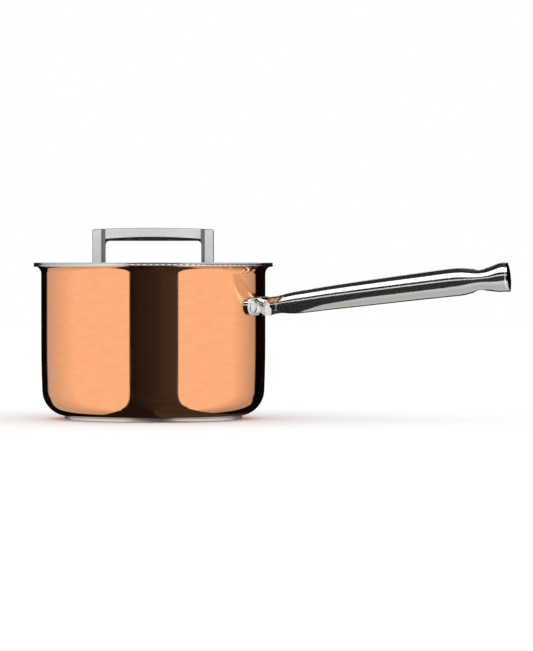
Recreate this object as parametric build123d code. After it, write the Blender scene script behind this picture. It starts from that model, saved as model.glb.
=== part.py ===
from build123d import *
import os
from math import asin, atan2, cos, degrees, hypot, pi, radians, sin, sqrt

# A one-handled saucepan: copper-clad body, riveted tubular handle, and an inset glass lid.
# Millimetres, +Z up. The origin is the centre of the underside of the base disc.
# The pan's handle points along +X.

# Body: the outer curve, then the layers inside it
BASE_R = 64.0  # stainless disc under the pan
BASE_T = 2.1
BODY_R = 81.0  # copper wall
CORNER_R = 19.0  # bottom corner
BELLY_R = 826.0  # very slow curve between the corner and the straight wall
BELLY_TOP_Z = 55.0
FLARE_R = 5.6  # turn-out under the rim
FLARE_ANGLE = 62.0
RIM_TOP_Z = 111.8
RIM_R = 86.45
RIM_EDGE_R = 0.9
COPPER_T = 0.5
CORE_T = 1.4
LINER_T = 0.5
GROOVE_RADII = (20.0, 31.0, 42.0, 53.0)  # turned rings in the base disc
GROOVE_W = 1.6
GROOVE_DEPTH = 0.3

# Handle foot and neck
FOOT_T = 3.2
FOOT_H = 13.5
FOOT_Z = 81.45
FOOT_HALF_ANGLE = 26.4
FOOT_EDGE_R = 1.0
FLANK_R = 7.5  # concave sides between foot and neck
WEB_HALF_W = 7.6
WEB_OUTLINE = (  # (x, z) of the web's free edge seen from the side, from the foot's bottom to its top
    (81.5, 74.8),
    (85.5, 75.0),
    (88.2, 75.9),
    (89.9, 77.0),
    (89.3, 79.4),
    (87.7, 82.0),
    (85.0, 84.4),
    (81.5, 86.6),
)
NECK_ROOT_X = 82.6
SPIGOT_END_X = 106.0
SPIGOT_PLAY = 0.1

# Rivets
RIVET_ANGLE = 21.2
RIVET_Z = 81.7
RIVET_SHANK_R = 2.6
RIVET_HEAD_R = 4.8
RIVET_HEAD_H = 1.9
RIVET_TAIL_R = 4.7
RIVET_TAIL_H = 1.4
RIVET_RIM = 0.35  # upright edge of a head, below its dome
RIVET_SEAT = 0.16  # depth that makes a flat head bed into the curved wall

# Tubular handle: (x, centre height, height, width) of the oval section at chosen places
HANDLE_SLOPE_START = 7.7  # degrees
HANDLE_SLOPE_END = 5.6
HANDLE_KEYS = (
    (90.2, 82.3, 12.7, 17.6),
    (95.7, 83.1, 13.7, 17.9),
    (102.0, 83.75, 15.6, 18.2),
    (108.0, 84.5, 16.1, 18.5),
    (130.0, 87.6, 17.2, 19.6),
    (151.6, 90.4, 18.1, 20.7),
    (194.5, 95.8, 19.4, 22.9),
    (219.0, 98.7, 20.1, 24.1),
    (223.6, 99.1, 19.9, 24.2),
    (231.0, 99.8, 17.1, 24.2),
    (235.0, 100.2, 16.5, 24.2),
    (239.0, 100.6, 16.3, 24.2),
    (242.5, 100.8, 16.3, 24.2),
    (250.0, 101.8, 20.3, 24.4),
    (256.0, 102.3, 20.9, 24.5),
)
HANDLE_SECTIONS = 23  # evenly spaced sections that the handle is lofted through
TUBE_WALL = 1.2
CAP_LIP = 1.1
CAP_DOME_R = 48.0
CAP_PLUG_L = 3.0
CAP_PLUG_PLAY = 0.5
HANG_HOLE_X = 236.8
HANG_HOLE_R = 4.5
HANG_SLEEVE_T = 1.3
HANG_EDGE_R = 0.9

# Lid
LID_TURN = 9.0  # the lid can lie at any angle, and rests turned by this much
FLANGE_R = 86.35
FLANGE_T = 0.9
SKIRT_R = 77.8
SKIRT_T = 0.8
SKIRT_BOTTOM_Z = 104.2
CHANNEL_R = 72.6  # how far the band reaches in over the glass
CHANNEL_T = 0.8
GLASS_R = SKIRT_R - SKIRT_T
GLASS_T = 4.0
GLASS_TOP_Z = 113.0
GLASS_DOME_R = 735.0
GLASS_HOLE_R = 3.5
VENT_Y = 50.0
VENT_R = 1.5
VENT_BARREL_R = 2.4
VENT_FLANGE_R = 4.2
VENT_FLANGE_T = 0.7
VENT_EDGE_R = 0.35

# Lid handle: a bridge with two posts and a slightly arched bar
GRIP_L = 87.5
GRIP_DEPTH = 16.0
GRIP_BASE_Z = 112.9
GRIP_END_Z = 136.8
GRIP_TOP_Z = 137.8
GRIP_OPEN_Z = 128.5
POST_W = 9.0
POST_FACE_W = 6.4  # flat front of a post, outside its inner chamfer
BAR_DEPTH_END = 12.8
BAR_DEPTH_MID = 14.2
GRIP_CORNER_R = 3.0
GRIP_SHOULDER_R = 1.5
GRIP_EDGE_R = 0.6
GRIP_TOP_R = 0.4
POST_OVERLAP = 0.4  # how far the posts' chamfers run on into the bar
BEVEL_IN = 0.75  # bevel under the bar's front and back
BEVEL_H = 3.4

# What holds the lid handle to the glass
SCREW_X = 39.2
SCREW_R = 2.0
SCREW_TOP_Z = 122.0
SCREW_HEAD_R = 4.0
SCREW_HEAD_H = 2.4
SCREW_HEAD_EDGE_R = 1.1
CROSS_L = 4.4
CROSS_W = 1.0
PAD_T = 2.5
PAD_MARGIN = 0.5
PAD_CORNER_R = 1.5
GASKET_R = 7.2
GASKET_BOTTOM_Z = 106.4
SLEEVE_SHORT = 0.5
WASHER_R = 6.0
WASHER_T = 1.0

WALL_T = COPPER_T + CORE_T + LINER_T


def polar(centre, radius, angle):
    """The (r, z) point at a radius and an angle in degrees from a centre."""
    return (centre[0] + radius * cos(radians(angle)), centre[1] + radius * sin(radians(angle)))


def arc(centre, radius, start, end):
    """A circular arc in the r-z plane between two angles in degrees."""
    points = [polar(centre, radius, a) for a in (start, (start + end) / 2, end)]
    return ThreePointArc(*points)


def wall_edges(depth):
    """The body's outer curve moved inwards by depth, from the axis up to the rim, with its two ends."""
    corner_z = BASE_T + CORNER_R
    belly = (BODY_R - BELLY_R, BELLY_TOP_Z)
    reach = BELLY_R - CORNER_R
    corner = (belly[0] + sqrt(reach**2 - (BELLY_TOP_Z - corner_z) ** 2), corner_z)
    join = degrees(atan2(corner[1] - belly[1], corner[0] - belly[0]))
    flare_z = RIM_TOP_Z - (FLARE_R + WALL_T) * sin(radians(FLARE_ANGLE))
    flare = (BODY_R + FLARE_R, flare_z)
    start = (0, BASE_T + depth)
    edges = [
        Line(start, (corner[0], BASE_T + depth)),
        arc(corner, CORNER_R - depth, -90, join),
        arc(belly, BELLY_R - depth, join, 0),
        Line((BODY_R - depth, BELLY_TOP_Z), (BODY_R - depth, flare_z)),
        arc(flare, FLARE_R + depth, 180, 180 - FLARE_ANGLE),
    ]
    return edges, start, polar(flare, FLARE_R + depth, 180 - FLARE_ANGLE)


def spun(edges):
    """A solid of revolution about Z from edges drawn as (r, z)."""
    return revolve(Plane.XZ * make_face(edges), Axis.Z)


def layer(outer_depth, inner_depth):
    """One layer of the body, between two depths below its outer surface."""
    outside, outside_start, outside_end = wall_edges(outer_depth)
    inside, inside_start, inside_end = wall_edges(inner_depth)
    ends = [Line(outside_end, inside_end), Line(inside_start, outside_start)]
    return spun(outside + inside + ends)


def liner():
    """The innermost layer, which turns out over the edges of the others as a solid pouring rim."""
    outside, outside_start, outside_end = wall_edges(COPPER_T + CORE_T)
    inside, inside_start, inside_end = wall_edges(WALL_T)
    under = wall_edges(0)[2]
    top = (RIM_R - RIM_EDGE_R, RIM_TOP_Z - RIM_EDGE_R)
    bottom = (RIM_R - RIM_EDGE_R, under[1] + RIM_EDGE_R)
    rim = [
        Line(outside_end, under),
        Line(under, (bottom[0], under[1])),
        arc(bottom, RIM_EDGE_R, -90, 0),
        Line((RIM_R, bottom[1]), (RIM_R, top[1])),
        arc(top, RIM_EDGE_R, 0, 90),
        Line((top[0], RIM_TOP_Z), inside_end),
    ]
    return spun(outside + inside + rim + [Line(inside_start, outside_start)])


def base_disc():
    """The stainless disc under the pan, with turned rings in its underside."""
    disc = Cylinder(BASE_R, BASE_T, align=(Align.CENTER, Align.CENTER, Align.MIN))
    disc = fillet(disc.edges().group_by(Axis.Z)[0], 0.6)
    for radius in GROOVE_RADII:
        outer = Cylinder(radius + GROOVE_W / 2, 2 * GROOVE_DEPTH)
        disc -= outer - Cylinder(radius - GROOVE_W / 2, 2 * GROOVE_DEPTH)
    return disc


def oval(x, z, height, width, slope):
    """An oval face square to the handle at x, tilted by its slope in degrees."""
    along = (cos(radians(slope)), 0, sin(radians(slope)))
    return Plane(origin=(x, 0, z), x_dir=(0, 1, 0), z_dir=along) * Ellipse(width / 2, height / 2)


def between(x, column):
    """A value of HANDLE_KEYS at x, on a smooth curve that never overshoots its keys."""
    places = [key[0] for key in HANDLE_KEYS]
    values = [key[column] for key in HANDLE_KEYS]
    last = len(places) - 2
    rises = [(values[i + 1] - values[i]) / (places[i + 1] - places[i]) for i in range(last + 1)]
    slopes = [rises[0]]
    for before, after in zip(rises, rises[1:]):
        slopes.append(2 * before * after / (before + after) if before * after > 0 else 0)
    slopes.append(rises[-1])
    i = min(sum(place <= x for place in places[1:]), last)
    step = places[i + 1] - places[i]
    t = (x - places[i]) / step
    start = values[i] * (1 + 2 * t) * (1 - t) ** 2 + step * slopes[i] * t * (1 - t) ** 2
    return start + values[i + 1] * t**2 * (3 - 2 * t) + step * slopes[i + 1] * t**2 * (t - 1)


def handle_ovals(shrink):
    """The sections of the handle from its root to its end, made smaller all round by shrink."""
    first = HANDLE_KEYS[0][0]
    length = HANDLE_KEYS[-1][0] - first
    faces = []
    for i in range(HANDLE_SECTIONS):
        along = i / (HANDLE_SECTIONS - 1)
        x = first + length * along
        z, height, width = (between(x, column) for column in (1, 2, 3))
        slope = HANDLE_SLOPE_START + (HANDLE_SLOPE_END - HANDLE_SLOPE_START) * along
        faces.append(oval(x, z, height - 2 * shrink, width - 2 * shrink, slope))
    return faces


def mid(edge):
    """The middle of an edge's bounding box."""
    return edge.center(CenterOf.BOUNDING_BOX)


def tube():
    """The hollow handle, with a sleeve through it at the hanging hole."""
    hole = Pos(HANG_HOLE_X, 0, 100) * Cylinder(HANG_HOLE_R, 60)
    sleeve = Pos(HANG_HOLE_X, 0, 100) * Cylinder(HANG_HOLE_R + HANG_SLEEVE_T, 60)
    hollow = loft(handle_ovals(TUBE_WALL)) - sleeve
    solid = loft(handle_ovals(0)) - hollow - hole
    around = 2 * pi * HANG_HOLE_R
    mouths = [e for e in solid.edges() if abs(mid(e).X - HANG_HOLE_X) < 1 and abs(e.length - around) < 1]
    return fillet(mouths, HANG_EDGE_R)


def spigot():
    """What fits inside the root of the handle with a little play."""
    inside = loft(handle_ovals(TUBE_WALL + SPIGOT_PLAY))
    length = SPIGOT_END_X - NECK_ROOT_X
    return inside & Pos(NECK_ROOT_X + length / 2, 0, FOOT_Z) * Box(length, 2 * BODY_R, 2 * BODY_R)


def end_cap():
    """The domed cap that closes the handle, with a plug inside the tube."""
    x, z, height, width = HANDLE_KEYS[-1]
    along = (cos(radians(HANDLE_SLOPE_END)), 0, sin(radians(HANDLE_SLOPE_END)))
    plane = Plane(origin=(x, 0, z), x_dir=(0, 1, 0), z_dir=along)
    sag = CAP_DOME_R - sqrt(CAP_DOME_R**2 - (width / 2) ** 2)
    crown = extrude(plane * Ellipse(width / 2, height / 2), 2 * (CAP_LIP + sag))
    ball = plane * Pos(0, 0, CAP_LIP + sag - CAP_DOME_R) * Sphere(CAP_DOME_R)
    inset = TUBE_WALL + CAP_PLUG_PLAY
    plug = extrude(plane * Ellipse(width / 2 - inset, height / 2 - inset), -CAP_PLUG_L)
    return (crown & ball) + plug


def foot_plate():
    """The part of the foot that hugs the wall, with its outer edges rounded."""
    outer_r = BODY_R + FOOT_T
    length = 2 * outer_r * sin(radians(FOOT_HALF_ANGLE))
    slab = extrude(Plane.YZ * Pos(0, FOOT_Z) * SlotOverall(length, FOOT_H), 2 * BODY_R)
    ring = Pos(0, 0, FOOT_Z) * (Cylinder(outer_r, 2 * FOOT_H) - Cylinder(BODY_R, 2 * FOOT_H))
    plate = slab & ring
    middles = [(edge, edge.position_at(0.5)) for edge in plate.edges()]
    rim = [edge for edge, point in middles if abs(hypot(point.X, point.Y) - outer_r) < 0.01]
    return fillet(rim, FOOT_EDGE_R)


def foot_web():
    """The block between foot and neck, with concave flanks and a free edge that slants down and out."""
    outer_r = BODY_R + FOOT_T
    centre_y = WEB_HALF_W + FLANK_R
    turn = asin(centre_y / (outer_r + FLANK_R))
    centre_x = (outer_r + FLANK_R) * cos(turn)
    half_way = (180 + degrees(turn) + 270) / 2
    flank = (centre_x + FLANK_R * cos(radians(half_way)), centre_y + FLANK_R * sin(radians(half_way)))
    root = (outer_r * cos(turn), outer_r * sin(turn))
    seat = (BODY_R * cos(turn), BODY_R * sin(turn))
    plan = make_face([
        Line(seat, root),
        ThreePointArc(root, flank, (centre_x, WEB_HALF_W)),
        Line((centre_x, WEB_HALF_W), (centre_x, -WEB_HALF_W)),
        ThreePointArc((centre_x, -WEB_HALF_W), (flank[0], -flank[1]), (root[0], -root[1])),
        Line((root[0], -root[1]), (seat[0], -seat[1])),
        ThreePointArc((seat[0], -seat[1]), (BODY_R, 0), seat),
    ])
    low, high = WEB_OUTLINE[0], WEB_OUTLINE[-1]
    inside = BODY_R - FOOT_H
    side = make_face([
        Spline(*WEB_OUTLINE),
        Line(high, (inside, high[1])),
        Line((inside, high[1]), (inside, low[1])),
        Line((inside, low[1]), low),
    ])
    return extrude(plan, 2 * FOOT_Z) & extrude(Plane.XZ * side, BODY_R, both=True)


def foot():
    """The cast foot on the wall, its flanks, the neck and the spigot inside the tube."""
    x, z, height, width = HANDLE_KEYS[0]
    neck = loft([
        oval(NECK_ROOT_X, FOOT_Z, height, width, 0),
        oval(x, z, height, width, HANDLE_SLOPE_START),
    ])
    return foot_plate() + foot_web() + neck + spigot()


def dome(tip, edge):
    """An arc from a tip on the axis to an edge point, with its centre on the axis, as (r, z)."""
    drop = tip[1] - edge[1]
    radius = (edge[0] ** 2 + drop**2) / (2 * drop)
    half = asin(edge[0] / radius) / 2
    return ThreePointArc(tip, (radius * sin(half), tip[1] - radius * (1 - cos(half))), edge)


def rivet(side):
    """A solid rivet through foot and wall, on one side of the handle (+1 or -1)."""
    head_r = BODY_R + FOOT_T - RIVET_SEAT
    tail_r = BODY_R - WALL_T + RIVET_SEAT
    head_top = BODY_R + FOOT_T + RIVET_HEAD_H
    tail_top = BODY_R - WALL_T - RIVET_TAIL_H
    head_edge = (RIVET_HEAD_R, head_r + RIVET_RIM)
    tail_edge = (RIVET_TAIL_R, tail_r - RIVET_RIM)
    section = make_face([
        Line((0, tail_top), (0, head_top)),
        dome((0, head_top), head_edge),
        Polyline(
            head_edge,
            (RIVET_HEAD_R, head_r),
            (RIVET_SHANK_R, head_r),
            (RIVET_SHANK_R, tail_r),
            (RIVET_TAIL_R, tail_r),
            tail_edge,
        ),
        dome((0, tail_top), tail_edge),
    ])
    pin = revolve(Plane.XZ * section, Axis.Z)
    return Pos(0, 0, RIVET_Z) * Rot(0, 0, side * RIVET_ANGLE) * Rot(0, 90, 0) * pin


def glass_height(radius):
    """Height of the glass's top surface at a radius from the lid's axis."""
    return GLASS_TOP_Z - GLASS_DOME_R + sqrt(GLASS_DOME_R**2 - radius**2)


def glass_disc():
    """The glass disc without its holes."""
    top = [(r, glass_height(r)) for r in (0, GLASS_R / 2, GLASS_R)]
    under = [(r, z - GLASS_T) for r, z in top]
    return spun([
        ThreePointArc(*top),
        Line(top[2], under[2]),
        ThreePointArc(*under),
        Line(under[0], top[0]),
    ])


def rim_band(glass):
    """The stainless band: flange on top, skirt inside the pan, channel crimped round the glass."""
    top = RIM_TOP_Z + FLANGE_T
    half = FLANGE_T / 2
    corner = (SKIRT_R - 1.0, SKIRT_BOTTOM_Z + 1.0)
    over_edge = glass_height(GLASS_R) + CHANNEL_T
    over_lip = glass_height(CHANNEL_R) + CHANNEL_T
    under_lip = glass_height(CHANNEL_R) - GLASS_T - CHANNEL_T
    section = [
        Line((CHANNEL_R, under_lip), (corner[0], SKIRT_BOTTOM_Z)),
        arc(corner, 1.0, -90, 0),
        Line((SKIRT_R, corner[1]), (SKIRT_R, RIM_TOP_Z)),
        Line((SKIRT_R, RIM_TOP_Z), (FLANGE_R - half, RIM_TOP_Z)),
        arc((FLANGE_R - half, RIM_TOP_Z + half), half, -90, 90),
        Line((FLANGE_R - half, top), (GLASS_R + 0.8, top)),
        arc((GLASS_R + 0.8, top - 0.8), 0.8, 90, 180),
        Line((GLASS_R, top - 0.8), (GLASS_R, over_edge)),
        Line((GLASS_R, over_edge), (CHANNEL_R, over_lip)),
        Line((CHANNEL_R, over_lip), (CHANNEL_R, under_lip)),
    ]
    return spun(section) - glass


def upright(radius, low, high):
    """A cylinder about Z between two heights."""
    return Pos(0, 0, low) * Cylinder(radius, high - low, align=(Align.CENTER, Align.CENTER, Align.MIN))


def vent_eyelet(glass):
    """The rolled steel eyelet in the glass's vent hole, which lets steam out."""
    top = glass_height(VENT_Y) + VENT_FLANGE_T
    flanges = upright(VENT_FLANGE_R, top - GLASS_T - 2 * VENT_FLANGE_T, top)
    flanges = fillet(flanges.edges(), VENT_EDGE_R)
    return Pos(0, VENT_Y, 0) * (flanges - upright(VENT_R, 0, 2 * top)) - glass


def grip():
    """The bridge handle: flat posts with chamfered inner edges, and a bar set back between them."""
    half = GRIP_L / 2
    inner = half - POST_W
    face_x = half - POST_FACE_W
    end_x = inner - POST_OVERLAP
    front = GRIP_DEPTH / 2
    bar_end = BAR_DEPTH_END / 2
    bar_mid = BAR_DEPTH_MID / 2
    outline = make_face([
        Line((-half, GRIP_BASE_Z), (-half, GRIP_END_Z)),
        ThreePointArc((-half, GRIP_END_Z), (0, GRIP_TOP_Z), (half, GRIP_END_Z)),
        Line((half, GRIP_END_Z), (half, GRIP_BASE_Z)),
        Line((half, GRIP_BASE_Z), (-half, GRIP_BASE_Z)),
    ])
    body = extrude(Plane.XZ * outline, front, both=True)
    body = fillet(body.edges().filter_by(Axis.Y).group_by(Axis.Z)[-1], GRIP_SHOULDER_R)
    gap = Pos(0, 0, GRIP_OPEN_Z - half) * Box(2 * inner, 2 * GRIP_DEPTH, GRIP_L)
    body -= fillet(gap.edges().filter_by(Axis.Y).group_by(Axis.Z)[-1], GRIP_CORNER_R)
    for side in (1, -1):
        recess = make_face([
            Line((-face_x, side * front), (-end_x, side * bar_end)),
            ThreePointArc((-end_x, side * bar_end), (0, side * bar_mid), (end_x, side * bar_end)),
            Line((end_x, side * bar_end), (face_x, side * front)),
            Line((face_x, side * front), (face_x, side * GRIP_DEPTH)),
            Line((face_x, side * GRIP_DEPTH), (-face_x, side * GRIP_DEPTH)),
            Line((-face_x, side * GRIP_DEPTH), (-face_x, side * front)),
        ])
        body -= extrude(recess, 2 * GRIP_TOP_Z)
        bevel = make_face(Polyline(
            (side * (bar_end - BEVEL_IN - BEVEL_H / 2), GRIP_OPEN_Z - BEVEL_H),
            (side * (bar_end - BEVEL_IN + BEVEL_H / 2), GRIP_OPEN_Z + BEVEL_H),
            (side * GRIP_DEPTH, GRIP_OPEN_Z + BEVEL_H),
            (side * GRIP_DEPTH, GRIP_OPEN_Z - BEVEL_H),
            close=True,
        ))
        body -= extrude(Plane.YZ * bevel, end_x, both=True)
    corners = [e for e in body.edges() if abs(mid(e).X) > half - 0.1 and abs(mid(e).Y) > front - 0.1]
    body = fillet(corners, GRIP_EDGE_R)
    top = [e for e in body.edges() if mid(e).Z > GRIP_END_Z - 0.5 and abs(mid(e).Y) > bar_end - 0.5]
    return fillet(top, GRIP_TOP_R)


def lid_fastening(side, glass):
    """One post's screw, washer and gaskets, on one side of the lid (+1 or -1)."""
    under = glass_height(SCREW_X) - GLASS_T
    head_top = GASKET_BOTTOM_Z - WASHER_T
    head_low = head_top - SCREW_HEAD_H
    place = Pos(side * SCREW_X, 0, 0)
    shank = place * upright(SCREW_R, head_top, SCREW_TOP_Z)
    pad = Box(POST_W + 2 * PAD_MARGIN, GRIP_DEPTH + 2 * PAD_MARGIN, PAD_T)
    pad = fillet(pad.edges().filter_by(Axis.Z), PAD_CORNER_R)
    pad = place * Pos(0, 0, GRIP_BASE_Z - PAD_T / 2) * pad
    lower = place * upright(GASKET_R, GASKET_BOTTOM_Z, under + 1)
    sleeve = place * upright(GLASS_HOLE_R, GASKET_BOTTOM_Z, glass_height(SCREW_X) - SLEEVE_SHORT)
    head = upright(SCREW_HEAD_R, head_low, head_top)
    head = fillet(head.edges().group_by(Axis.Z)[0], SCREW_HEAD_EDGE_R)
    slot = Box(CROSS_L, CROSS_W, SCREW_HEAD_H) + Box(CROSS_W, CROSS_L, SCREW_HEAD_H)
    return {
        "lid_gasket_top": pad - glass - shank,
        "lid_gasket_bottom": lower - glass + sleeve - shank,
        "lid_washer": place * upright(WASHER_R, head_top, GASKET_BOTTOM_Z) - shank,
        "lid_screw": shank + place * (head - Pos(0, 0, head_low) * slot),
    }


def pan_parts():
    """Every piece of the pan, by name."""
    shell = layer(0, COPPER_T)
    core = layer(COPPER_T, COPPER_T + CORE_T)
    lining = liner()
    bracket = foot()
    parts = {}
    for name, side in (("front", -1), ("back", 1)):
        pin = rivet(side)
        shell -= pin
        core -= pin
        lining -= pin
        bracket -= pin
        parts["handle_rivet_" + name] = pin
    parts["base_plate"] = base_disc()
    parts["copper_outer_shell"] = shell
    parts["aluminium_core"] = core
    parts["steel_inner_liner"] = lining
    parts["handle_bracket"] = bracket
    parts["handle_tube"] = tube()
    parts["handle_end_cap"] = end_cap()
    return parts


def lid_parts():
    """Every piece of the lid, by name, turned to the angle at which it rests."""
    disc = glass_disc()
    glass = disc - Pos(0, VENT_Y, 0) * upright(VENT_BARREL_R, 0, 2 * GLASS_TOP_Z)
    handle = grip()
    parts = {"lid_rim_band": rim_band(disc), "steam_vent_eyelet": vent_eyelet(glass)}
    for name, side in (("left", -1), ("right", 1)):
        hole = Pos(side * SCREW_X, 0, 0) * upright(GLASS_HOLE_R, 0, 2 * GLASS_TOP_Z)
        glass -= hole
        fastening = lid_fastening(side, disc)
        handle -= fastening["lid_screw"]
        for piece, solid in fastening.items():
            parts[piece + "_" + name] = solid
    parts["lid_glass"] = glass
    parts["lid_handle"] = handle
    return {name: Rot(0, 0, LID_TURN) * solid for name, solid in parts.items()}


os.makedirs("parts", exist_ok=True)
for name, solid in (pan_parts() | lid_parts()).items():
    export_step(solid, "parts/" + name + ".step")
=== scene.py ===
from math import cos, degrees, radians, sin

import bpy
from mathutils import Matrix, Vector

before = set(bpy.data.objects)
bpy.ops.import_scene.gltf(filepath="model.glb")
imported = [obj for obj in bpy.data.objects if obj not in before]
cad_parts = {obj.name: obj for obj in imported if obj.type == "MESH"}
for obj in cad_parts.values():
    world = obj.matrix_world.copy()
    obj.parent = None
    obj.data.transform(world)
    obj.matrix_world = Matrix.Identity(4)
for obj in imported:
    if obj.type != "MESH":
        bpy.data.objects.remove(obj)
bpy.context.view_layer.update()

MM = 0.001

# The camera, about level with the rim
SHOT_AZIMUTH = 9.0  # degrees round from -Y towards +X
EYE_DISTANCE = 2.5  # metres
EYE_HEIGHT = 107.6  # mm
AIM_OUT = 81.8  # what the camera looks at: this far towards the handle, in mm
AIM_UP = 67.3
LENS = 191.2  # focal length in mm
SENSOR = 36.0  # width in mm

# The studio. Angles are in degrees, either round from the camera's own direction or up from the horizon.
BOX_LEVEL = 1.05  # radiance of the side boxes
LEFT_BOX_END = (136.0, 141.0)  # round to where each box fades out
RIGHT_BOX_END = (129.0, 133.0)
LEFT_FALL = (85.0, 135.0, 0.6)  # the box dims from the first angle to the second, by this factor
RIGHT_FALL = (90.0, 130.0, 0.5)
LOW_RISE = (-12.0, -26.0)  # below here the boxes reach further round
LOW_REACH = 13.0
BLACK = 0.004
BEHIND_SIDE = (133.0, 150.0)
BEHIND_RISE = (5.0, 65.0)
BEHIND_LEVEL = 0.2  # the space behind brightens upwards, from BLACK to this
TOP_LEVEL = 2.0
TOP_RISE = (45.0, 47.0)
TOP_BACK = (-0.10, -0.03)  # where the overhead box ends, as the forward part of a unit direction
GAP_LEVEL = 0.055
GAP_SIDE = 22.0
GAP_SHADES = (0.28, 0.97)  # share of GAP_LEVEL at the left and at the right of the gap
GAP_LEFT = 0.415  # half width of the gap over its distance
GAP_RIGHT = 0.515
GAP_BELOW = 0.88
GAP_ABOVE = 1.6
GAP_SOFTNESS = (0.008, -0.012)
LINE_LEVEL = 1.25  # a thin lit strip above the camera
LINE_BOTTOM = (14.5, 17.0)
LINE_TOP = (25.5, 22.5)
FLOOR_LEVEL = 1.16  # soft light that only matt surfaces collect
FLOOR_HALF = 4.0  # metres
FLOOR_COLOUR = (0.9, 0.9, 0.9, 1)
WHITE = (1, 1, 1, 1)

# The lit part of the table that the long handle mirrors: right of the pan's axis, in front of it, up, in mm
TABLE_CORNERS = (
    (109, -60, 0.3),
    (900, -60, 0.3),
    (900, 890, 0.3),
    (235, 225, 0.3),
    (215, 190, 0.3),
    (185, 131, 0.3),
    (130, 113, 0.3),
    (112, 60, 0.3),
)
TABLE_COLOUR = (1.0, 0.98, 0.95, 1)
TABLE_FADE = (-0.16, 0.0, 0.95, 0.6)  # brightness 0.95 at y = -0.16 m, falling to 0.6 at y = 0

# The lamp that lights only the lid's handle
FILL_WATTS = 5.5
FILL_SIZE = 1.2  # metres
FILL_DISTANCE = 1.6
FILL_HEIGHT = 0.55
FILL_AIM = 0.12  # height of the point that it faces

# Surfaces
POLISHED_STEEL = (0.7, 0.69, 0.67)
LID_TURN = 9.0  # degrees that the lid's handle is turned by
FLAT_ENOUGH = 0.97  # cosine
EDGE_ROUGHNESS = 0.14
WEAR_WIDTH = 0.0004  # metres
WEAR_ROUGHNESS = 0.12
GRAIN = 0.0005  # width of one brushing line
GRAIN_ROUND = 7.0  # changes of grain in a radian, where it runs round
GRAIN_LONG = 30.0  # changes of grain in a metre, where it runs along
GRAIN_FINE = 900.0  # changes of grain in a metre, where it has no direction
RELIEF = 0.0002  # depth of bumps
TUBE_EVEN = 0.002  # radius in metres over which normals are evened out
COPPER_EVEN = 0.001
RIM_EVEN = 0.0006


# Node trees


class Tree:
    """A node tree with short calls to add and link nodes."""

    def __init__(self, owner):
        owner.use_nodes = True
        self.tree = owner.node_tree
        self.tree.nodes.clear()

    def add(self, kind, inputs=None, **settings):
        """A new node. Its inputs are values or the sockets to link to."""
        node = self.tree.nodes.new(kind)
        for key, value in settings.items():
            setattr(node, key, value)
        for key, value in (inputs or {}).items():
            self.put(node, key, value)
        return node

    def put(self, node, key, value):
        if isinstance(value, bpy.types.NodeSocket):
            self.tree.links.new(value, node.inputs[key])
        else:
            node.inputs[key].default_value = value

    def math(self, operation, *values):
        node = self.add("ShaderNodeMath", operation=operation)
        for i, value in enumerate(values):
            self.put(node, i, value)
        return node.outputs[0]

    def ramp(self, value, low, high, start=0.0, end=1.0, smooth=True):
        """Runs from start to end as value goes from low to high."""
        node = self.add("ShaderNodeMapRange", interpolation_type="SMOOTHSTEP" if smooth else "LINEAR")
        for i, v in enumerate((value, low, high, start, end)):
            self.put(node, i, v)
        return node.outputs[0]

    def noise(self, place, scale, detail, **more):
        """A smoothly varying value for each place."""
        inputs = {"Vector": place, "Scale": scale, "Detail": detail} | more
        return self.add("ShaderNodeTexNoise", inputs).outputs[0]

    def mapped(self, vector, **inputs):
        """The vector, turned or stretched."""
        return self.add("ShaderNodeMapping", {"Vector": vector} | inputs).outputs[0]

    def mix_value(self, factor, a, b):
        """A number between a, at factor 0, and b, at factor 1."""
        node = self.add("ShaderNodeMix", data_type="FLOAT")
        for i, v in ((0, factor), (2, a), (3, b)):
            self.put(node, i, v)
        return node.outputs[0]

    def mix(self, factor, a, b):
        """A colour between a, at factor 0, and b, at factor 1."""
        node = self.add("ShaderNodeMix", data_type="RGBA")
        for i, v in ((0, factor), (6, a), (7, b)):
            self.put(node, i, v)
        return node.outputs[2]

    def grey(self, level):
        return self.add("ShaderNodeCombineColor", {0: level, 1: level, 2: level}).outputs[0]

    def end(self, surface, kind="ShaderNodeOutputMaterial"):
        self.add(kind, {"Surface": surface})


def material_tree(name):
    """A new material and its empty node tree."""
    material = bpy.data.materials.new(name)
    return material, Tree(material)


def place_object(name, data):
    """A new object in the scene."""
    thing = bpy.data.objects.new(name, data)
    bpy.context.scene.collection.objects.link(thing)
    return thing


# World: tall soft boxes left and right, one overhead, and a dark gap in front that widens downwards


def side_boxes(tree, side, left_side, away, rise, on_right):
    """The light of the two side boxes, and the dim space behind them."""
    reach = tree.ramp(rise, *LOW_RISE, 0.0, LOW_REACH)
    right = tree.ramp(tree.math("SUBTRACT", side, reach), *RIGHT_BOX_END, 1.0, 0.0)
    left = tree.ramp(tree.math("SUBTRACT", left_side, reach), *LEFT_BOX_END, 1.0, 0.0)
    falls = []
    for angle, (near, far, share) in ((left_side, LEFT_FALL), (side, RIGHT_FALL)):
        falls.append(tree.ramp(angle, near, far, BOX_LEVEL, share * BOX_LEVEL, smooth=False))
    box = tree.math("MULTIPLY", tree.mix_value(on_right, left, right), tree.mix_value(on_right, *falls))
    shade = tree.ramp(rise, *BEHIND_RISE, BLACK, BEHIND_LEVEL)
    behind = tree.math("MULTIPLY", tree.ramp(away, *BEHIND_SIDE), shade)
    return tree.math("MAXIMUM", box, behind)


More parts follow.
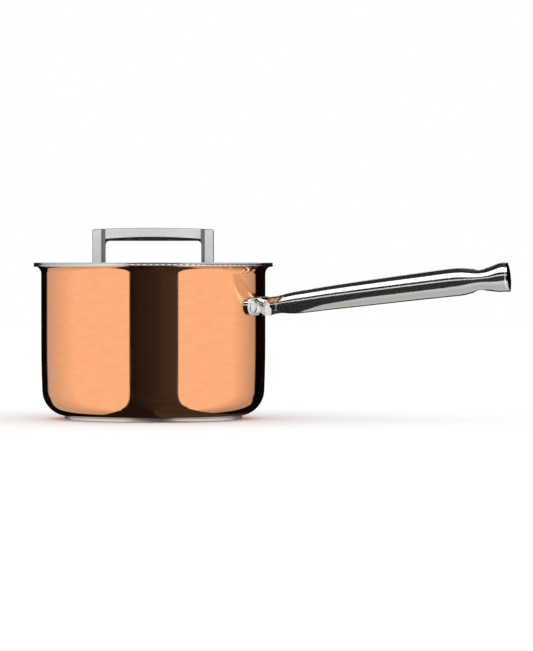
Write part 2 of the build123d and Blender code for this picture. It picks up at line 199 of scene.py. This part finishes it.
def gap_mask(tree, axes, front, on_right):
    """1 in the gap between the boxes: a wedge in front, about as wide below as it is ahead."""
    ahead = tree.math("MAXIMUM", front, 0.0)
    down = tree.math("MAXIMUM", tree.math("MULTIPLY", axes[2], -1.0), 0.0)
    below = tree.math("MULTIPLY", down, GAP_BELOW)
    above = tree.math("MULTIPLY", tree.math("MAXIMUM", axes[2], 0.0), GAP_ABOVE)
    reach = tree.math("ADD", tree.math("POWER", ahead, 2.0), tree.math("POWER", below, 2.0))
    reach = tree.math("SQRT", tree.math("ADD", reach, tree.math("POWER", above, 2.0)))
    lean = tree.mix_value(on_right, GAP_LEFT, GAP_RIGHT)
    edge = tree.math("SUBTRACT", tree.math("ABSOLUTE", axes[0]), tree.math("MULTIPLY", reach, lean))
    return tree.ramp(edge, *GAP_SOFTNESS)


def gap_light(tree, coords, side, rise):
    """What is seen in the gap: almost dark, uneven, with a thin lit strip above the camera."""
    streaks = tree.noise(coords, 3.0, 2.0)
    dim, bright = (share * GAP_LEVEL for share in GAP_SHADES)
    light = tree.ramp(side, -GAP_SIDE, GAP_SIDE, dim, bright, smooth=False)
    light = tree.math("MULTIPLY", light, tree.ramp(streaks, 0.3, 0.7, 0.85, 1.15))
    line = tree.math("MULTIPLY", tree.ramp(rise, *LINE_BOTTOM), tree.ramp(rise, *LINE_TOP))
    return tree.math("ADD", light, tree.math("MULTIPLY", line, LINE_LEVEL))


def studio():
    """The studio that metal and glass mirror. The camera sees white, and matt surfaces an even light."""
    world = bpy.data.worlds.new("studio")
    bpy.context.scene.world = world
    world.cycles.sampling_method = "NONE"
    tree = Tree(world)
    coords = tree.add("ShaderNodeTexCoord").outputs["Generated"]
    turned = tree.mapped(coords, Rotation=(0, 0, radians(-SHOT_AZIMUTH)))
    axes = tree.add("ShaderNodeSeparateXYZ", {"Vector": turned}).outputs
    front = tree.math("MULTIPLY", axes[1], -1.0)
    side = tree.math("MULTIPLY", tree.math("ARCTAN2", axes[0], front), degrees(1))
    left_side = tree.math("MULTIPLY", side, -1.0)
    away = tree.math("ABSOLUTE", side)
    rise = tree.math("MULTIPLY", tree.math("ARCSINE", axes[2]), degrees(1))
    on_right = tree.ramp(side, -1.0, 1.0)

    around = side_boxes(tree, side, left_side, away, rise, on_right)
    gap = gap_mask(tree, axes, front, on_right)
    level = tree.mix_value(gap, around, gap_light(tree, coords, side, rise))
    over = tree.math("MULTIPLY", tree.ramp(rise, *TOP_RISE), tree.ramp(front, *TOP_BACK))
    level = tree.mix_value(over, level, TOP_LEVEL)

    lit = tree.add("ShaderNodeBackground", {"Color": tree.grey(level), "Strength": 1.0}).outputs[0]
    soft = tree.add("ShaderNodeBackground", {"Color": WHITE, "Strength": FLOOR_LEVEL}).outputs[0]
    white = tree.add("ShaderNodeBackground", {"Color": WHITE, "Strength": 1.0}).outputs[0]
    path = tree.add("ShaderNodeLightPath").outputs
    both = tree.add("ShaderNodeMixShader", {0: path["Is Diffuse Ray"], 1: lit, 2: soft}).outputs[0]
    both = tree.add("ShaderNodeMixShader", {0: path["Is Camera Ray"], 1: both, 2: white}).outputs[0]
    tree.end(both, "ShaderNodeOutputWorld")


# Materials


def worn_edges(tree, place):
    """Where a surface turns sharply and has been rubbed, from 0 on faces to 1 on edges."""
    rounded = tree.add("ShaderNodeBevel", {"Radius": WEAR_WIDTH}, samples=4).outputs[0]
    true = tree.add("ShaderNodeNewGeometry").outputs["Normal"]
    agree = tree.add("ShaderNodeVectorMath", {0: rounded, 1: true}, operation="DOT_PRODUCT")
    patchy = tree.noise(place, 260.0, 3.0)
    sharp = tree.ramp(agree.outputs["Value"], 0.995, 0.93)
    return tree.math("MULTIPLY", sharp, tree.ramp(patchy, 0.35, 0.6))


def flat_faces(tree):
    """1 on faces square to the lid handle's depth, width or height, and 0 on its slanting ones, which get
    painted shade.
    """
    normal = tree.add("ShaderNodeTexCoord").outputs["Normal"]
    turned = tree.mapped(normal, Rotation=(0, 0, radians(-LID_TURN)))
    parts = tree.add("ShaderNodeSeparateXYZ", {"Vector": turned}).outputs
    sizes = [tree.math("ABSOLUTE", part) for part in parts]
    largest = tree.math("MAXIMUM", tree.math("MAXIMUM", sizes[0], sizes[1]), sizes[2])
    return tree.math("GREATER_THAN", largest, FLAT_ENOUGH)


def brushing(tree, place, grain):
    """Coordinates stretched along the brushing: round Z, along X, in turned rings, or all ways alike."""
    if grain == "round":
        axes = tree.add("ShaderNodeSeparateXYZ", {"Vector": place}).outputs
        around = tree.math("MULTIPLY", tree.math("ARCTAN2", axes[1], axes[0]), GRAIN_ROUND)
        height = tree.math("MULTIPLY", axes[2], 1.0 / GRAIN)
        return tree.add("ShaderNodeCombineXYZ", {0: around, 2: height}).outputs[0]
    if grain == "long":
        return tree.mapped(place, Scale=(GRAIN_LONG, 1.0 / GRAIN, 1.0 / GRAIN))
    if grain == "turned":
        out = tree.add("ShaderNodeVectorMath", {0: place}, operation="LENGTH").outputs["Value"]
        return tree.add("ShaderNodeCombineXYZ", {0: tree.math("MULTIPLY", out, 1.0 / GRAIN)}).outputs[0]
    return tree.mapped(place, Scale=(GRAIN_FINE, GRAIN_FINE, GRAIN_FINE))


def metal(
    name, colour, roughness, grain="fine", streak=0.05, bump=0.02, mottle=0.04,
    even=0.0, haze=0.0, edges=None,
):
    """A metal with fine brushing, faint smudges, small changes of colour and rubbed edges.

    streak, bump and mottle say how much the brushing changes roughness, height and colour.
    even is the radius over which normals are evened out, haze is a share of matt shine, and
    edges is a dark colour painted on slanting faces: painted shade standing in for
    the dark reflections in them.
    """
    material, tree = material_tree(name)
    place = tree.add("ShaderNodeTexCoord").outputs["Object"]
    run = brushing(tree, place, grain)
    lines = tree.noise(run, 1.0, 4.0, Roughness=0.65)
    bands = tree.noise(tree.mapped(run, Scale=(1.0, 0.12, 0.12)), 1.0, 2.0)
    smudge = tree.noise(place, 28.0, 4.0)
    wear = worn_edges(tree, place)
    rough = tree.ramp(smudge, 0.3, 0.7, roughness * 0.75, roughness * 1.3)
    rough = tree.math("ADD", rough, tree.math("MULTIPLY", lines, streak))
    rough = tree.math("ADD", rough, tree.math("MULTIPLY", wear, WEAR_ROUGHNESS))
    tone = tree.math("ADD", tree.ramp(lines, 0.25, 0.75, 0.0, 0.5), tree.ramp(bands, 0.3, 0.7, 0.0, 0.5))
    shade = tree.mix(tone, [c * (1 - 2 * mottle) for c in colour] + [1], list(colour) + [1])
    shade = tree.mix(tree.math("MULTIPLY", wear, 0.5), shade, [c * 0.8 + 0.18 for c in colour] + [1])
    # Painted shade: slanting faces take the dark edges colour and a lower roughness, in place of their dark
    # reflections
    if edges:
        flat = flat_faces(tree)
        shade = tree.mix(flat, list(edges) + [1], shade)
        rough = tree.mix_value(flat, EDGE_ROUGHNESS, rough)
    relief = tree.add("ShaderNodeBump", {"Strength": bump, "Distance": RELIEF, "Height": lines})
    if even:
        tree.put(relief, "Normal", tree.add("ShaderNodeBevel", {"Radius": even}, samples=8).outputs[0])
    tree.end(tree.add("ShaderNodeBsdfPrincipled", {
        "Base Color": shade,
        "Metallic": 1.0 - haze,
        "Roughness": rough,
        "Normal": relief.outputs[0],
    }).outputs[0])
    return material


def glass():
    """Clear toughened glass, faintly green, with a trace of smears."""
    material, tree = material_tree("lid_glass")
    place = tree.add("ShaderNodeTexCoord").outputs["Object"]
    smear = tree.noise(place, 40.0, 5.0)
    fine = tree.noise(place, 400.0, 2.0)
    shade = tree.mix(tree.ramp(smear, 0.3, 0.7), (0.93, 0.98, 0.96, 1), (0.9, 0.96, 0.94, 1))
    relief = tree.add("ShaderNodeBump", {"Strength": 0.01, "Distance": RELIEF / 2, "Height": fine})
    tree.end(tree.add("ShaderNodeBsdfPrincipled", {
        "Base Color": shade,
        "Roughness": tree.ramp(smear, 0.35, 0.75, 0.005, 0.05),
        "Transmission Weight": 1.0,
        "IOR": 1.5,
        "Normal": relief.outputs[0],
    }).outputs[0])
    return material


def rubber():
    """Matt dark silicone with a fine skin and a little dust."""
    material, tree = material_tree("silicone")
    place = tree.add("ShaderNodeTexCoord").outputs["Object"]
    skin = tree.noise(place, 700.0, 4.0)
    dust = tree.noise(place, 60.0, 4.0)
    shade = tree.mix(tree.ramp(dust, 0.45, 0.8), (0.016, 0.016, 0.018, 1), (0.045, 0.044, 0.042, 1))
    relief = tree.add("ShaderNodeBump", {"Strength": 0.15, "Distance": RELIEF, "Height": skin})
    tree.end(tree.add("ShaderNodeBsdfPrincipled", {
        "Base Color": shade,
        "Roughness": tree.ramp(dust, 0.3, 0.7, 0.5, 0.7),
        "Normal": relief.outputs[0],
    }).outputs[0])
    return material


def give(material, *nodes):
    """Puts a material on CAD nodes."""
    for node in nodes:
        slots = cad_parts[node].data.materials
        slots.clear()
        slots.append(material)


def finish_pan(mirror):
    """Materials of the pan."""
    copper = metal("copper", (0.985, 0.43, 0.2), 0.035, "round", 0.03, 0.02, 0.05, even=COPPER_EVEN)
    tube = metal("tube_steel", POLISHED_STEEL, 0.035, "long", 0.03, 0.004, 0.02, even=TUBE_EVEN, haze=0.02)
    inner = metal("inner_steel", (0.64, 0.64, 0.63), 0.12, "round", 0.08, 0.03, even=RIM_EVEN)
    base = metal("base_steel", (0.62, 0.61, 0.6), 0.28, "turned", 0.1, 0.08)
    give(copper, "copper_outer_shell")
    give(metal("aluminium", (0.78, 0.78, 0.79), 0.4), "aluminium_core")
    give(inner, "steel_inner_liner")
    give(base, "base_plate")
    give(tube, "handle_tube")
    give(mirror, "handle_bracket", "handle_end_cap", "handle_rivet_front", "handle_rivet_back")


def finish_lid(mirror):
    """Materials of the lid."""
    rim = metal("rim_steel", (0.72, 0.71, 0.69), 0.07, "round", 0.06, 0.02, even=RIM_EVEN, haze=0.05)
    # The grip's slanting faces get painted shade, a dark colour that stands in for their dark reflections
    grip = metal("grip_steel", (0.86, 0.85, 0.83), 0.44, "long", 0.1, 0.05, 0.06, edges=(0.15, 0.15, 0.145))
    fastener = metal("fastener_steel", (0.62, 0.62, 0.62), 0.22)
    silicone = rubber()
    give(rim, "lid_rim_band")
    give(grip, "lid_handle")
    give(glass(), "lid_glass")
    give(mirror, "steam_vent_eyelet")
    for side in ("left", "right"):
        give(silicone, "lid_gasket_top_" + side, "lid_gasket_bottom_" + side)
        give(fastener, "lid_washer_" + side, "lid_screw_" + side)


# Floor, table, lamp and camera


def from_shot(right, ahead, up):
    """A point given to the right of the pan's axis, in front of it as the camera sees it, and up."""
    turn = radians(SHOT_AZIMUTH)
    return Vector((right * cos(turn) + ahead * sin(turn), right * sin(turn) - ahead * cos(turn), up))


def panel(name, points, material, hidden_from):
    """A flat piece of the studio, hidden from some kinds of ray."""
    data = bpy.data.meshes.new(name)
    data.from_pydata(points, [], [tuple(range(len(points)))])
    data.materials.append(material)
    piece = place_object(name, data)
    for kind in hidden_from:
        setattr(piece, "visible_" + kind, False)
    return piece


def shine_on(source, *nodes):
    """Lets a source of light reach only the named nodes."""
    lit = bpy.data.collections.new(source.name + "_lit")
    for node in nodes:
        lit.objects.link(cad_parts[node])
    source.light_linking.receiver_collection = lit


def lay_floor():
    """A plain pale floor, which mirrors don't see."""
    material, tree = material_tree("pale_floor")
    tree.end(tree.add("ShaderNodeBsdfDiffuse", {"Color": FLOOR_COLOUR}).outputs[0])
    corners = [(x * FLOOR_HALF, y * FLOOR_HALF, 0) for x, y in ((-1, -1), (1, -1), (1, 1), (-1, 1))]
    panel("floor", corners, material, ("glossy",))


def light_table():
    """The pale table as the long handle mirrors it."""
    material, tree = material_tree("table_glow")
    place = tree.add("ShaderNodeTexCoord").outputs["Object"]
    depth = tree.add("ShaderNodeSeparateXYZ", {"Vector": place}).outputs[1]
    fading = tree.ramp(depth, *TABLE_FADE)
    light = tree.add("ShaderNodeEmission", {"Color": TABLE_COLOUR, "Strength": fading}).outputs[0]
    clear = tree.add("ShaderNodeBsdfTransparent").outputs[0]
    tree.end(tree.add("ShaderNodeAddShader", {0: light, 1: clear}).outputs[0])
    points = [from_shot(right * MM, ahead * MM, up * MM) for right, ahead, up in TABLE_CORNERS]
    hidden_from = ("camera", "diffuse", "shadow", "transmission", "volume_scatter")
    shine_on(panel("table_glow", points, material, hidden_from), "handle_tube", "handle_end_cap")


def light_lid_handle():
    """A soft lamp above the camera's line of sight, which lights only the lid's handle."""
    lamp = bpy.data.lights.new("handle_fill", "AREA")
    lamp.shape = "SQUARE"
    lamp.size = FILL_SIZE
    lamp.energy = FILL_WATTS
    fill = place_object("handle_fill", lamp)
    fill.location = from_shot(0, FILL_DISTANCE, FILL_HEIGHT)
    fill.rotation_mode = "QUATERNION"
    lid = from_shot(0, 0, FILL_AIM)
    fill.rotation_quaternion = (lid - fill.location).to_track_quat("-Z", "Y")
    fill.visible_camera = False
    shine_on(fill, "lid_handle")


def set_camera():
    """The camera, level with the rim."""
    data = bpy.data.cameras.new("camera")
    data.lens = LENS
    data.sensor_width = SENSOR
    data.clip_start = 0.1
    data.clip_end = 50
    camera = place_object("camera", data)
    aim = from_shot(AIM_OUT * MM, 0, AIM_UP * MM)
    camera.location = from_shot(AIM_OUT * MM, EYE_DISTANCE, EYE_HEIGHT * MM)
    camera.rotation_mode = "QUATERNION"
    camera.rotation_quaternion = (aim - camera.location).to_track_quat("-Z", "Y")
    bpy.context.scene.camera = camera
    bpy.context.scene.view_settings.view_transform = "Standard"


polished = metal("mirror_steel", POLISHED_STEEL, 0.03, "long", 0.02, 0.006, 0.02)
finish_pan(polished)
finish_lid(polished)
lay_floor()
light_table()
studio()
light_lid_handle()
set_camera()
